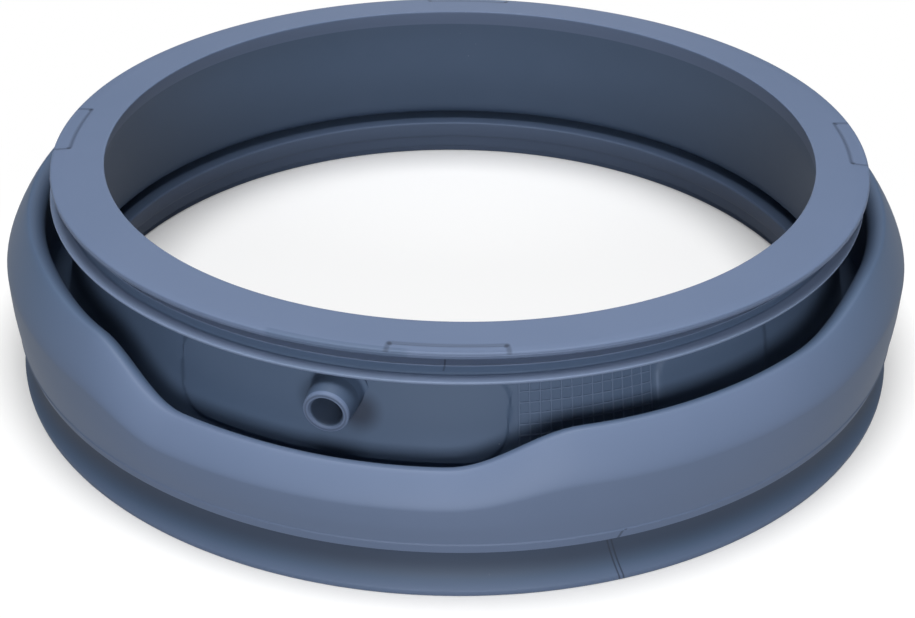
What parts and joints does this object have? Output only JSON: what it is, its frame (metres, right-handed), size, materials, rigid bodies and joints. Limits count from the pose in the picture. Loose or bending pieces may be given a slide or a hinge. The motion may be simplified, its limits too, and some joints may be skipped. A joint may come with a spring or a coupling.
{
  "type": "washing machine door seal",
  "caption": "Moulded rubber ring seal: flat door flange over a panel groove, conical wall with a side nozzle, folded bellows and a foot channel.",
  "frame": {"origin": "centre of the ring, in the plane of the foot that it stands on", "axes": "+Z along the ring's axis, from the tub side to the door side; -Y towards the front, where the bellows dips"},
  "size_m": [0.3808, 0.3812, 0.0875],
  "materials": {
    "rubber": "satin blue-grey moulded rubber"
  },
  "bodies": {
    "root": {"door_seal": "rubber"}
  },
  "joints": []
}
